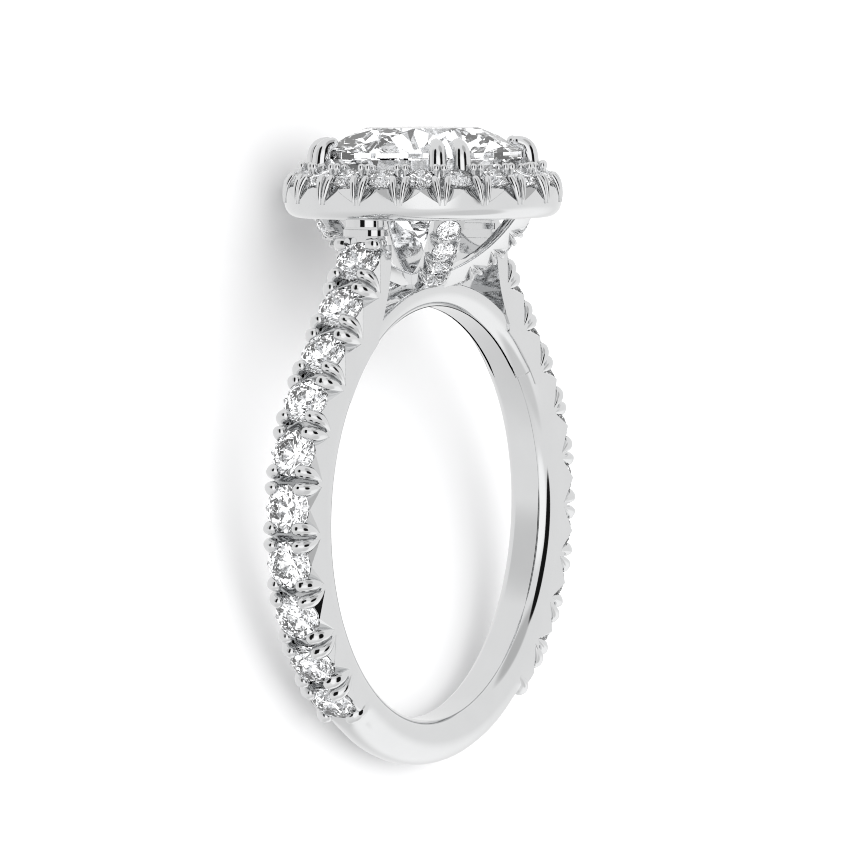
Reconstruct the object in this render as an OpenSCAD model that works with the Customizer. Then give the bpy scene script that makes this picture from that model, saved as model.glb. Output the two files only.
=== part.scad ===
// Diamond ring: a round brilliant in a halo, on a band set with brilliants down both shoulders.
// The ring is drawn upright, with the finger axis along Y and the head up along Z, and is then
// laid on its side, so that it rests on the rim of the halo and on the back of the band.
// Millimetres throughout.

/* [Ring size] */
// Inside diameter of the finger hole
hole_diameter = 17; // [16:0.5:19]
// Width of the band along the finger
band_width = 2.1; // [2.1:0.05:2.4]
// Thickness of the back of the band, from the finger hole to its outer face
band_thickness = 1.9; // [1.8:0.05:2.1]

/* [Centre stone] */
// Girdle diameter of the centre stone
centre_diameter = 8.24; // [7.9:0.02:8.3]
// Height of the centre stone's girdle above the under side of the halo
centre_lift = 2.7; // [2.65:0.05:2.9]

/* [Halo] */
// Outside diameter of the halo
halo_diameter = 11.5; // [11.4:0.05:11.8]
// Number of stones round the halo
halo_stones = 20; // [18:2:20]
// Girdle diameter of a halo stone
halo_stone_diameter = 1.4; // [1.2:0.05:1.4]
// Outward tilt of the halo stones, in degrees
halo_tilt = 26; // [20:1:28]

/* [Shoulders] */
// Number of stones down each shoulder
shoulder_stones = 10; // [8:1:11]
// Girdle diameter of a shoulder stone
shoulder_stone_diameter = 1.95; // [1.7:0.05:1.95]
// Distance from one shoulder stone to the next
shoulder_pitch = 2.273; // [2.25:0.001:2.28]
// Slope of the straight shoulders, in degrees from the vertical
shoulder_angle = 37.1; // [36.5:0.1:37.5]

/* [Basket] */
// Number of stones on each strut of the basket
strut_stones = 4; // [3:1:4]
// Girdle diameter of a strut stone
strut_stone_diameter = 1; // [0.8:0.05:1]
// Width of a strut
strut_width = 1.3; // [1.2:0.05:1.4]

/* [Hidden] */
$fn = 64;
// The smallest gap between a stone and the metal round it
gap = 0.03;
// Amount by which joined metal runs into its neighbour
overlap = 0.15;

// Band section: its inner corners are bevelled for the finger, its outer corners are rounded.
hole_r = hole_diameter / 2;
band_r = hole_r + band_thickness;
bore_flat = 0.625;
bevel_depth = 0.47;
bevel_edge = 0.9;
side_depth = 0.9;
outer_round = 0.6;
// The paved arms swell a little between the back and the shoulders: their outer face is an arc
// about a centre of its own, beside the finger hole's.
arm_x = 1.14;
arm_z = 0.1;
arm_r = 9.58;
// The bridge closes the finger hole below the basket and is slimmer than the band. It runs a few
// degrees into each arm, past the angle at which the arm ends.
bridge_angle = 38;
bridge_run_in = 3;
bridge_thickness = 1;
bridge_width = band_width - 0.14;

// Heights of the head above the centre of the finger hole
halo_base = hole_r + 3.7;
halo_r = halo_diameter / 2;
halo_inner_r = 4.25;
halo_corner = 0.6;
halo_rim = halo_base + 1.22;
halo_stone_r = halo_r - 0.72;
halo_stone_z = halo_base + 1.72;
halo_phase = 2.65;
girdle_z = halo_base + centre_lift;
centre_table = 0.565;
centre_crown = 28.5;
centre_girdle = 0.28;
pavilion_angle = 40.75;

// Proportions of the small brilliants
small_table = 0.57;
small_crown = 34.5;
small_girdle = 0.03;

// Angle below the horizontal at which the paving ends
paving_end = 51;

// Shoulder line: the arc of the arm's outer face, then a straight run up to the head
top_stone_at = 5.91;
shoulder_inner_x = 4.27;
shoulder_inner_r = 6.1;
shoulder_knee_z = halo_base - 1.2;
shoulder_top_x = 4.95;

// Basket struts: each is an arc in a vertical plane at 45 degrees to the band.
strut_centre_r = -1.07;
strut_centre_z = halo_base + 3.27;
strut_outer_r = 6.45;
strut_inner_r = 5.8;
strut_start = -82;
strut_sweep = 58;
strut_stone_step = 10.2;
strut_first = -35.2;

// Claws: four pairs at the corners
claw_r = 0.38;
claw_at = 4.47;
claw_spread = 6.5;
claw_base_z = halo_base + 0.65;
claw_top_z = girdle_z + 0.55;
claw_tip_r = 3.72;

// Tilt of the ring as it lies: the rim of the halo and the back of the band touch the ground.
lean = atan((halo_r - halo_corner - band_width / 2 + outer_round)
    / (halo_base + halo_corner + band_r - outer_round)) - 0.25;
rest_height = (band_width / 2 - outer_round) * cos(lean)
    + (band_r - outer_round) * sin(lean) + outer_round;
centre_shift = 2.87;

SIDES = ["left", "right"];
CORNERS = ["front_left", "front_right", "back_right", "back_left"];

METAL = [0.86, 0.87, 0.88];
STONE = [0.93, 0.96, 1];

// Way that the shoulder line faces, s along it from where it straightens
function line_angle(s) = shoulder_angle + min(s, 0) / arm_r * 180 / PI;

// Point on the shoulder line in the plane of the band
function line_point(s) =
    let (a = line_angle(s), run = max(s, 0))
    [arm_x + arm_r * cos(a) - run * sin(a), arm_z + arm_r * sin(a) + run * cos(a)];

// Place of shoulder stone i along the line, counted from the head
function stone_at(i) = top_stone_at - (i - 1) * shoulder_pitch;

// Height of a point on a facet plane that falls at the given angle, run away from its start
function facet_z(start_z, run, angle) = start_z - run * tan(angle);

// Lays the upright ring on its side, with its base on the ground.
module laid_down() {
    translate([0, centre_shift, rest_height])
        rotate([90 - lean, 0, 0])
            children();
}

// Puts a child on the shoulder line: its Z points out of the band and its X down the line.
module on_shoulder(side, s) {
    place = line_point(s);
    mirror([side == "left" ? 1 : 0, 0, 0])
        translate([place[0], 0, place[1]])
            rotate([0, 90 - line_angle(s), 0])
                children();
}

// Puts a child on the sloping top of the halo, at the given angle round it.
module on_halo(angle) {
    rotate([0, 0, angle])
        translate([0, -halo_stone_r, halo_stone_z])
            rotate([halo_tilt, 0, 0])
                children();
}

// Puts a child on the outer face of a strut: its Z points out of the strut.
module on_strut(corner, angle) {
    rotate([0, 0, 45 + 90 * corner])
        translate([strut_centre_r, 0, strut_centre_z])
            rotate([0, 90 - angle, 0])
                translate([0, 0, strut_outer_r])
                    children();
}

// Small turned post with an eased tip, standing on Z
module post(r, height, ease = 0.6) {
    rotate_extrude()
        polygon([
            [0, 0],
            [r, 0],
            [r, height - ease * r],
            [r * (1 - ease), height],
            [0, height]
        ]);
}

// Wedge that cuts a V into an edge: its valley runs along Z and it opens towards X.
module wedge(length, depth, half_angle) {
    linear_extrude(height = length)
        polygon([
            [0, 0],
            [depth, depth * tan(half_angle)],
            [depth, -depth * tan(half_angle)]
        ]);
}

// Outline of the band section without its outer corners: hole side at x = 0, bevelled there
module bevelled_section(thickness, width) {
    half = width / 2;
    upper = [
        [0, bore_flat],
        [bevel_depth, min(bevel_edge, half - 0.05)],
        [min(side_depth, thickness), half],
        [thickness, half]
    ];
    polygon(concat(
        upper,
        [for (i = [len(upper) - 1:-1:0]) [upper[i][0], -upper[i][1]]]
    ));
}

// Outline of the section of the plain back, with its outer corners rounded
module back_section() {
    half = band_width / 2;
    bevelled_section(band_thickness - outer_round, band_width);
    translate([band_thickness - outer_round - 0.01, outer_round - half])
        square([outer_round + 0.01, band_width - 2 * outer_round]);
    for (s = [-1, 1])
        translate([band_thickness - outer_round, s * (half - outer_round)])
            circle(r = outer_round);
}

// Round brilliant with its girdle's upper edge at z = 0
module brilliant(diameter, table_ratio, crown_angle, girdle, pavilion_angle) {
    r = diameter / 2;
    table_r = r * table_ratio;
    table_z = (r - table_r) * tan(crown_angle);
    star_r = r * 0.79;
    star_z = facet_z(table_z, star_r * cos(22.5) - table_r, crown_angle);
    half_r = r * 0.23;
    half_z = -girdle - (r - half_r * cos(22.5)) * tan(pavilion_angle);
    culet_z = -girdle - r * tan(pavilion_angle);
    points = concat(
        [for (k = [0:7]) [table_r * cos(45 * k), table_r * sin(45 * k), table_z]],
        [for (k = [0:7]) [star_r * cos(45 * k + 22.5), star_r * sin(45 * k + 22.5), star_z]],
        [for (k = [0:15]) [r * cos(22.5 * k), r * sin(22.5 * k), 0]],
        [for (k = [0:15]) [r * cos(22.5 * k), r * sin(22.5 * k), -girdle]],
        [for (k = [0:7]) [half_r * cos(45 * k + 22.5), half_r * sin(45 * k + 22.5), half_z]],
        [[0, 0, culet_z]]
    );
    star = 8;
    upper = 16;
    lower = 32;
    half_facet = 48;
    culet = 56;
    faces = concat(
        [[for (k = [7:-1:0]) k]],
        [for (k = [0:7]) [k, (k + 1) % 8, star + k]],
        [for (k = [0:7]) [k, star + k, upper + 2 * k, star + (k + 7) % 8]],
        [for (k = [0:7]) [star + k, upper + 2 * k + 1, upper + 2 * k]],
        [for (k = [0:7]) [star + k, upper + (2 * k + 2) % 16, upper + 2 * k + 1]],
        [for (k = [0:15]) [upper + k, upper + (k + 1) % 16, lower + (k + 1) % 16, lower + k]],
        [for (k = [0:7]) [lower + 2 * k, lower + 2 * k + 1, half_facet + k]],
        [for (k = [0:7]) [lower + 2 * k + 1, lower + (2 * k + 2) % 16, half_facet + k]],
        [for (k = [0:7]) [lower + 2 * k, half_facet + k, culet, half_facet + (k + 7) % 8]]
    );
    polyhedron(points = points, faces = faces, convexity = 2);
}

// Small brilliant of the halo, shoulders and struts
module small_brilliant(diameter) {
    brilliant(diameter, small_table, small_crown, diameter * small_girdle, pavilion_angle);
}

// Seat for a small brilliant: its outline turned about its axis, larger all round by the gap
module seat(diameter) {
    r = diameter / 2 + gap;
    table_r = r * small_table;
    crown = (r - table_r) * tan(small_crown);
    girdle = diameter * small_girdle;
    rotate_extrude()
        polygon([
            [0, -girdle - r * tan(pavilion_angle) - gap],
            [r, -girdle - gap],
            [r, gap],
            [table_r, crown + gap],
            [0, crown + gap]
        ]);
}

// Seat for the centre stone, larger all round by the gap
module centre_seat() {
    r = centre_diameter / 2 + gap;
    table_r = r * centre_table;
    translate([0, 0, girdle_z])
        rotate_extrude()
            polygon([
                [0, -centre_girdle - r * tan(pavilion_angle) - gap],
                [r, -centre_girdle - gap],
                [r, gap],
                [table_r, (r - table_r) * tan(centre_crown) + gap],
                [0, (r - table_r) * tan(centre_crown) + gap]
            ]);
}

// Back of the band: plain and rounded, between the ends of the paving
module plain_back() {
    rotate([90, 0, 0])
        rotate_extrude(angle = 180 - 2 * paving_end, start = 180 + paving_end)
            translate([hole_r, 0])
                back_section();
}

// Arm of the band: flat-sided where the stones are set, from the back up to the shoulder
module paved_arm(side) {
    mirror([side == "left" ? 1 : 0, 0, 0])
        rotate([90, 0, 0])
            intersection() {
                rotate_extrude(angle = bridge_angle + paving_end, start = -paving_end)
                    translate([hole_r, 0])
                        bevelled_section(arm_r + 1.5 - hole_r, band_width);
                translate([arm_x, arm_z, -band_width])
                    cylinder(h = 2 * band_width, r = arm_r);
            }
}

// Bridge: closes the finger hole under the basket
module bridge() {
    start = bridge_angle - bridge_run_in;
    rotate([90, 0, 0])
        rotate_extrude(angle = 180 - 2 * start, start = start)
            translate([hole_r, 0])
                bevelled_section(bridge_thickness, bridge_width);
}

// Outline of a right-hand shoulder, seen along the finger
module shoulder_outline() {
    bend = line_point(0);
    top = line_point(top_stone_at + 0.55);
    tall = halo_base + overlap;
    difference() {
        intersection() {
            polygon([
                [0, 0],
                bend,
                top,
                [shoulder_top_x, top[1] + 0.02],
                [shoulder_top_x, tall],
                [0, tall]
            ]);
            union() {
                translate([shoulder_inner_x + shoulder_inner_r, shoulder_knee_z])
                    circle(r = shoulder_inner_r);
                translate([shoulder_inner_x, shoulder_knee_z])
                    square([3, 2]);
                polygon([[0, 0], [20, 0], [20 * cos(52), 20 * sin(52)]]);
            }
        }
        circle(r = hole_r + 0.6);
    }
}

// Shoulder: the flat-sided cheek that carries the stones from the band up to the halo
module shoulder(side) {
    collar = 1.7;
    step_z = halo_base - 0.42;
    mirror([side == "left" ? 1 : 0, 0, 0])
        intersection() {
            translate([0, band_width / 2, 0])
                rotate([90, 0, 0])
                    linear_extrude(height = band_width)
                        shoulder_outline();
            union() {
                translate([0, -band_width, 0])
                    cube([2 * band_r, 2 * band_width, step_z]);
                translate([0, -collar / 2, step_z - 1])
                    cube([2 * band_r, collar, 3]);
            }
        }
}

// Body of the halo: a rim with a rounded lower edge and a top that slopes outwards
module halo_body() {
    crest = halo_base + 1.92;
    rotate_extrude() {
        polygon([
            [halo_inner_r, halo_base],
            [halo_r - halo_corner, halo_base],
            [halo_r, halo_base + halo_corner],
            [halo_r, halo_rim],
            [halo_inner_r + 0.12, crest],
            [halo_inner_r, crest - 0.1]
        ]);
        translate([halo_r - halo_corner, halo_base + halo_corner])
            circle(r = halo_corner);
    }
}

// Strut of the basket: a curved bar from the bridge up to the halo
module strut(corner) {
    rotate([0, 0, 45 + 90 * corner])
        translate([strut_centre_r, 0, strut_centre_z])
            rotate([90, 0, 0])
                rotate_extrude(angle = strut_sweep, start = strut_start)
                    translate([strut_inner_r, -strut_width / 2])
                        square([strut_outer_r - strut_inner_r, strut_width]);
}

// Claw at the given angle: a post that rises past the girdle and folds in over the crown
module claw(angle) {
    foot_r = claw_at - 0.12;
    height = claw_top_z - claw_base_z;
    rotate([0, 0, angle]) {
        translate([foot_r, 0, claw_base_z])
            rotate([0, atan((claw_at - foot_r) / height), 0])
                post(claw_r, height, 0.5);
        translate([claw_at, 0, girdle_z + 0.24])
            rotate([0, -70, 0])
                post(claw_r * 0.8, (claw_at - claw_tip_r) / sin(70));
    }
}

// Cuts a V across an edge at the side of a stone row. It stands in the row's frame: X along
// the row, Y across it, Z out of it. The valley starts on the side face, depth below the row.
module edge_cut(half_width, depth, spread) {
    rise = 38;
    translate([0, half_width, -depth])
        rotate([rise, 0, 0])
            rotate([0, 0, 90])
                translate([-0.02, 0, -0.3])
                    wedge(depth + 1.1, depth + 0.6, spread);
}

// Pair of claws that hold two neighbouring stones of a row, on the side of the row
module claw_pair(half_width, depth, rise, r, apart, lean_in, ends) {
    for (x = ends)
        translate([x * apart, half_width - r * 0.55, -depth])
            rotate([lean_in, 0, 0])
                post(r, depth + rise);
}

// Does something on both sides of a row.
module both_sides() {
    for (flip = [0, 1])
        mirror([0, flip, 0])
            children();
}

// Every claw pair of a shoulder; the first and last hold one stone each.
module shoulder_claws(side) {
    for (i = [0:shoulder_stones]) {
        ends = i == 0 ? [1] : i == shoulder_stones ? [-1] : [-1, 1];
        on_shoulder(side, stone_at(i + 0.5))
            both_sides()
                claw_pair(band_width / 2, 0.55, 0.36, 0.22, 0.23, 14, ends);
    }
}

// Cuts between the stones of a shoulder
module shoulder_cuts(side) {
    for (i = [1:shoulder_stones - 1])
        on_shoulder(side, stone_at(i + 0.5))
            both_sides()
                edge_cut(band_width / 2, 0.62, 58);
}

// Angle of the gap between halo stones i and i + 1
function halo_gap_angle(i) = halo_phase + 360 / halo_stones * i;

// Claw pairs round the rim of the halo, and beads on its inner edge
module halo_claws() {
    for (i = [1:halo_stones])
        rotate([0, 0, halo_gap_angle(i)])
            for (x = [-1, 1]) {
                translate([x * 0.18, -halo_r + 0.1, halo_base + 0.75])
                    rotate([-6, 0, 0])
                        post(0.16, 1.07);
                translate([x * 0.15, -halo_inner_r - 0.2, halo_base + 1.6])
                    post(0.12, 0.66);
            }
}

// Cuts between the stones of the halo
module halo_cuts() {
    for (i = [1:halo_stones])
        rotate([0, 0, halo_gap_angle(i)])
            translate([0, -halo_r, halo_base + 0.6])
                rotate([0, 0, -90])
                    rotate([0, -36, 0])
                        translate([-0.02, 0, -0.2])
                            wedge(1.4, 1.2, 60);
}

// Claw pairs between the stones of a strut
module strut_claws(corner) {
    for (i = [1:strut_stones - 1])
        on_strut(corner, strut_first - strut_stone_step * (i - 0.5))
            both_sides()
                claw_pair(strut_width / 2, 0.3, 0.2, 0.11, 0.12, 14, [-1, 1]);
}

// Cuts between the stones of a strut
module strut_cuts(corner) {
    for (i = [1:strut_stones - 1])
        on_strut(corner, strut_first - strut_stone_step * (i - 0.5))
            both_sides()
                edge_cut(strut_width / 2, 0.34, 54);
}

// Band: back, arms, shoulders and bridge, with the cuts, claws and seats of the shoulder stones.
// The lowest strut stones sit against the bridge, so it's cut for them too.
module set_band() {
    difference() {
        union() {
            difference() {
                for (side = SIDES) {
                    paved_arm(side);
                    shoulder(side);
                }
                for (side = SIDES)
                    shoulder_cuts(side);
            }
            for (side = SIDES)
                shoulder_claws(side);
            plain_back();
            bridge();
        }
        for (side = SIDES, i = [1:shoulder_stones])
            on_shoulder(side, stone_at(i))
                seat(shoulder_stone_diameter);
        for (corner = [0:3])
            on_strut(corner, strut_first - strut_stone_step * (strut_stones - 1))
                seat(strut_stone_diameter);
    }
}

// Halo and the eight claws that stand on it, with their cuts, claws and seats
module set_halo() {
    difference() {
        union() {
            difference() {
                halo_body();
                halo_cuts();
            }
            halo_claws();
            for (corner = [0:3], s = [-1, 1])
                claw(45 + 90 * corner + s * claw_spread);
        }
        centre_seat();
        for (i = [1:halo_stones])
            on_halo(halo_gap_angle(i + 0.5))
                seat(halo_stone_diameter);
    }
}

// Basket: the four struts, with their cuts, claws and seats
module set_basket() {
    difference() {
        for (corner = [0:3]) {
            difference() {
                strut(corner);
                strut_cuts(corner);
            }
            strut_claws(corner);
        }
        for (corner = [0:3], i = [1:strut_stones])
            on_strut(corner, strut_first - strut_stone_step * (i - 1))
                seat(strut_stone_diameter);
    }
}

// Ring mount: all the metal, cast and soldered into one piece
module ring_mount() {
    color(METAL) laid_down() {
        set_band();
        set_basket();
        set_halo();
    }
}

// Centre stone: a round brilliant held by the four pairs of claws
module centre_stone() {
    color(STONE) laid_down()
        translate([0, 0, girdle_z])
            rotate([0, 0, 22.5])
                brilliant(centre_diameter, centre_table, centre_crown, centre_girdle, pavilion_angle);
}

// Shoulder stone i, counted from the head
module shoulder_stone(side, i) {
    color(STONE) laid_down()
        on_shoulder(side, stone_at(i))
            small_brilliant(shoulder_stone_diameter);
}

// Halo stone i
module halo_stone(i) {
    color(STONE) laid_down()
        on_halo(halo_gap_angle(i + 0.5))
            small_brilliant(halo_stone_diameter);
}

// Strut stone i, counted from the halo
module strut_stone(corner, i) {
    color(STONE) laid_down()
        on_strut(corner, strut_first - strut_stone_step * (i - 1))
            small_brilliant(strut_stone_diameter);
}

ring_mount();
centre_stone();
for (side = SIDES, i = [1:shoulder_stones])
    shoulder_stone(side, i);
for (i = [1:halo_stones])
    halo_stone(i);
for (c = [0:3], i = [1:strut_stones])
    strut_stone(c, i);
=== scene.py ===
"""Looks of a diamond ring: polished white gold, a centre brilliant in a halo, and rows of small brilliants.

The ring is modelled upright, in millimetres, with the finger axis along Y and the head up along Z. Each
finished piece is then laid on its side, in metres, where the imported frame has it.
"""

import logging
import math
from dataclasses import dataclass, field
from enum import Enum
from typing import Iterable, Sequence

import bmesh
import bpy
import numpy as np
from mathutils import Matrix, Vector


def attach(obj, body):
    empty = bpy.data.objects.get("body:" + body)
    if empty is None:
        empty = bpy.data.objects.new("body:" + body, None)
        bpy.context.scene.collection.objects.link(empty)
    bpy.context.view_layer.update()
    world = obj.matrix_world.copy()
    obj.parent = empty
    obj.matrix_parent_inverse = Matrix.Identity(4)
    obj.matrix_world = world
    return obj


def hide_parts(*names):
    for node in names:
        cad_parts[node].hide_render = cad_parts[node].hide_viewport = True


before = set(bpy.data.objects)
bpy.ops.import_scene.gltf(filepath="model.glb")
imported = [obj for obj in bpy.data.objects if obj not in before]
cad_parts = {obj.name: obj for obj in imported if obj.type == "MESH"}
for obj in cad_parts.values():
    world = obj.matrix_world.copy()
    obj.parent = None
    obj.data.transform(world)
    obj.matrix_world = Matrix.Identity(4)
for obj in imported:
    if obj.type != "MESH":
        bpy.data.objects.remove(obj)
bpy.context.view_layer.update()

LOG = logging.getLogger("diamond_ring")
MM = 0.001
# Corners nearer than this are one corner, in millimetres.
SAME_POINT = 2e-4


class Cut(Enum):
    """What a shell does to the metal that it meets."""

    ADD = "UNION"
    REMOVE = "DIFFERENCE"


@dataclass(frozen=True)
class RingSizes:
    """Sizes that several parts of the ring share, in millimetres and degrees.

    Args:
        hole_r: radius of the finger hole.
        band_r: outer radius of the band at its back.
        band_half: half of the band's width.
        arm_centre: X and Z of the centre of the arc that the outer face of an arm follows.
        arm_r: radius of that arc.
        shoulder_angle: slope of the straight shoulders from the vertical.
        bridge_angle: angle above the horizontal at which the arms of the hoop end.
        back_round: rounding of the back's outer corners where it rests on the ground.
        halo_base: Z of the halo's underside.
        halo_corner: rounding of the lower corner of the halo's rim.
        halo_r: outer radius of the halo.
        halo_stones: stones round the halo.
        halo_phase: angle from -Y of the first gap between halo stones.
        girdle_z: Z of the upper edge of the centre stone's girdle.
        lean_slack: angle taken off the tilt at which the ring would just rest.
        centre_shift: Y of the finger hole's centre as the ring lies.
        corners: corners of the basket, each with a strut and a pair of claws.
        stone_gap: gap between a stone and its seat.
        pavilion_angle: slope of every stone's pavilion.
    """

    hole_r: float = 8.5
    band_r: float = 10.4
    band_half: float = 1.05
    arm_centre: tuple[float, float] = (1.14, 0.1)
    arm_r: float = 9.58
    shoulder_angle: float = 37.1
    bridge_angle: float = 38.0
    back_round: float = 0.6
    halo_base: float = 12.2
    halo_corner: float = 0.6
    halo_r: float = 5.75
    halo_stones: int = 20
    halo_phase: float = 2.65
    girdle_z: float = 14.9
    lean_slack: float = 0.25
    centre_shift: float = 2.87
    corners: int = 4
    stone_gap: float = 0.03
    pavilion_angle: float = 40.75

    @property
    def lean(self) -> float:
        """Tilt at which the halo's rim and the back of the band both touch the ground.

        Returns:
            The tilt in degrees.
        """
        rise = self.halo_r - self.halo_corner - self.band_half + self.back_round
        run = self.halo_base + self.halo_corner + self.band_r - self.back_round
        return math.degrees(math.atan(rise / run)) - self.lean_slack

    @property
    def rest_height(self) -> float:
        """Height of the finger hole's centre above the ground as the ring lies.

        Returns:
            The height in millimetres.
        """
        tilt = math.radians(self.lean)
        flat = (self.band_half - self.back_round) * math.cos(tilt)
        return flat + (self.band_r - self.back_round) * math.sin(tilt) + self.back_round

    def corner_angle(self, corner: int, spread: float = 0.0) -> float:
        """Finds the direction of a corner of the basket round the head.

        Args:
            corner: number of the corner.
            spread: angle from that corner, in degrees.

        Returns:
            The angle from +X towards +Y, in radians.
        """
        return math.radians((corner + 0.5) * 360 / self.corners + spread)

    def laid_down(self) -> Matrix:
        """Lays the upright ring down and turns its millimetres into metres.

        Returns:
            The matrix that takes a point of the upright ring to its place in the frame.
        """
        place = Matrix.Translation(Vector((0.0, self.centre_shift, self.rest_height)) * MM)
        turn = Matrix.Rotation(math.radians(90 - self.lean), 4, "X")
        return place @ turn @ Matrix.Scale(MM, 4)


RING = RingSizes()


@dataclass
class Shell:
    """A closed surface.

    Args:
        points: one row per corner, in millimetres.
        faces: corners of each face, anticlockwise seen from outside.
    """

    points: np.ndarray
    faces: list[tuple[int, ...]]

    def placed(self, matrix: Matrix) -> "Shell":
        """Copies the shell to another place.

        Args:
            matrix: the move; if it mirrors, the faces are turned round.

        Returns:
            The moved copy.
        """
        m = np.array(matrix)
        points = self.points @ m[:3, :3].T + m[:3, 3]
        mirrored = np.linalg.det(m[:3, :3]) < 0
        faces = [tuple(reversed(f)) for f in self.faces] if mirrored else list(self.faces)
        return Shell(points, faces)


def joined(shells: Iterable[Shell]) -> Shell:
    """Puts several shells in one, without joining their surfaces.

    Args:
        shells: the shells, which don't touch each other.

    Returns:
        One shell with all their corners and faces.
    """
    points, faces, start = [], [], 0
    for shell in shells:
        points.append(shell.points)
        faces.extend(tuple(i + start for i in f) for f in shell.faces)
        start += len(shell.points)
    return Shell(np.concatenate(points), faces)


def loft(rings: np.ndarray, closed: bool = False) -> Shell:
    """Skins a row of rings that have equally many points.

    Args:
        rings: array of rings, points and coordinates.
        closed: whether the last ring meets the first; otherwise both ends get a flat cap.

    Returns:
        The closed shell.
    """
    count, around = rings.shape[:2]
    faces = []
    for i in range(count if closed else count - 1):
        a, b = i * around, (i + 1) % count * around
        for j in range(around):
            k = (j + 1) % around
            faces.append((a + j, a + k, b + k, b + j))
    if not closed:
        faces.append(tuple(reversed(range(around))))
        faces.append(tuple(range((count - 1) * around, count * around)))
    return outward(Shell(rings.reshape(-1, 3), faces))


def outward(shell: Shell) -> Shell:
    """Turns the faces of a closed shell outward.

    Args:
        shell: a shell whose faces all look outward or all look inward.

    Returns:
        The shell, with faces that look outward.
    """
    volume = 0.0
    p = shell.points
    for f in shell.faces:
        for i in range(1, len(f) - 1):
            volume += float(np.dot(p[f[0]], np.cross(p[f[i]], p[f[i + 1]])))
    if volume < 0:
        return Shell(p, [tuple(reversed(f)) for f in shell.faces])
    return shell


def lathe(outline: Sequence[tuple[float, float]], segments: int) -> Shell:
    """Turns an outline round Z.

    Args:
        outline: rows of radius and height; a point on the axis becomes a single corner.
        segments: sides round the axis.

    Returns:
        The closed shell.
    """
    points, rows = [], []
    for r, z in outline:
        if r < SAME_POINT:
            rows.append([len(points)] * segments)
            points.append((0.0, 0.0, z))
            continue
        rows.append(list(range(len(points), len(points) + segments)))
        for k in range(segments):
            a = 2 * math.pi * k / segments
            points.append((r * math.cos(a), r * math.sin(a), z))
    faces = []
    for low, high in zip(rows, rows[1:] + rows[:1]):
        for k in range(segments):
            n = (k + 1) % segments
            face = [low[k], low[n], high[n], high[k]]
            corners = tuple(dict.fromkeys(face))
            if len(corners) > 2:
                faces.append(corners)
    return outward(Shell(np.array(points), faces))


def hull(points: Sequence[tuple[float, float, float]]) -> Shell:
    """Wraps points in a convex shell.

    Args:
        points: rows of x, y and z.

    Returns:
        The shell.
    """
    bm = bmesh.new()
    for p in points:
        bm.verts.new(p)
    result = bmesh.ops.convex_hull(bm, input=bm.verts)
    inside = [v for v in result["geom_interior"] if isinstance(v, bmesh.types.BMVert)]
    bmesh.ops.delete(bm, geom=inside, context="VERTS")
    bm.verts.index_update()
    faces = [tuple(v.index for v in f.verts) for f in bm.faces]
    shell = Shell(np.array([v.co for v in bm.verts]), faces)
    bm.free()
    return outward(shell)


def slab(outline: Sequence[tuple[float, float]], low: float, high: float) -> Shell:
    """Raises an outline of (x, z) points from y = low to y = high."""
    rings = np.array([[(x, y, z) for x, z in outline] for y in (low, high)])
    return loft(rings)


def box(low: Sequence[float], high: Sequence[float]) -> Shell:
    """Gives the block between two corners."""
    outline = [(low[0], low[2]), (high[0], low[2]), (high[0], high[2]), (low[0], high[2])]
    return slab(outline, low[1], high[1])


def smooth_path(path: Sequence[Sequence[float]], steps: int) -> np.ndarray:
    """Runs a Catmull-Rom curve through rows of numbers.

    Args:
        path: the rows that the curve passes through.
        steps: stations between one row and the next.

    Returns:
        One row per station.
    """
    rows = np.array(path, float)
    rows = np.vstack([2 * rows[0] - rows[1], rows, 2 * rows[-1] - rows[-2]])
    stations = []
    for before, start, end, after in zip(rows, rows[1:], rows[2:], rows[3:]):
        for t in np.linspace(0, 1, steps, endpoint=False):
            slope = (end - before) * t
            bend = (2 * before - 5 * start + 4 * end - after) * t**2
            twist = (3 * start - before - 3 * end + after) * t**3
            stations.append((2 * start + slope + bend + twist) / 2)
    stations.append(rows[-2])
    return np.array(stations)


# Angles at which the rings of a claw's domed tip lie, from the end of its path to near the pole
DOME_ANGLES = (22.5, 45.0, 67.5, 84.0)
# Least radius of a claw, in millimetres
FINEST_CLAW = 0.01
# Sine of the angle from the vertical below which a claw's foot counts as upright
UPRIGHT = 0.1


def claw_tube(
    path: Sequence[Sequence[float]], segments: int = 16, steps: int = 4, fullness: float = 2.0
) -> Shell:
    """Builds a claw along a path, with a domed tip.

    Args:
        path: rows of x, y, z and radius, from foot to tip.
        segments: sides round the claw.
        steps: stations between one row of the path and the next.
        fullness: exponent of the cross-section, 2 for a circle and more for flatter sides.

    Returns:
        The closed shell.
    """
    rows = smooth_path(path, steps)
    centres, radii = rows[:, :3], np.maximum(rows[:, 3], FINEST_CLAW)
    tangents = np.gradient(centres, axis=0)
    tangents /= np.linalg.norm(tangents, axis=1)[:, None]
    stations = list(zip(centres, tangents, radii))
    tip, along, tip_r = stations[-1]
    for a in np.radians(DOME_ANGLES):
        stations.append((tip + along * tip_r * math.sin(a), along, tip_r * math.cos(a)))
    side = np.cross(tangents[0], (0.0, 0.0, 1.0))
    if np.linalg.norm(side) < UPRIGHT:
        side = np.array((1.0, 0.0, 0.0))
    rings = []
    for centre, tangent, radius in stations:
        u = side - tangent * np.dot(side, tangent)
        u /= np.linalg.norm(u)
        side = u
        w = np.cross(tangent, u)
        ring = []
        for a in 2 * np.pi * np.arange(segments) / segments:
            c, s = math.cos(a), math.sin(a)
            r = radius / (abs(c) ** fullness + abs(s) ** fullness) ** (1 / fullness)
            ring.append(centre + r * (u * c + w * s))
        rings.append(ring)
    return loft(np.array(rings))


def pillar(outline: Sequence[tuple[float, float]], low: float, high: float) -> Shell:
    """Raises an outline of (x, y) points from z = low to z = high."""
    return loft(np.array([[(x, y, z) for x, y in outline] for z in (low, high)]))


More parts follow.
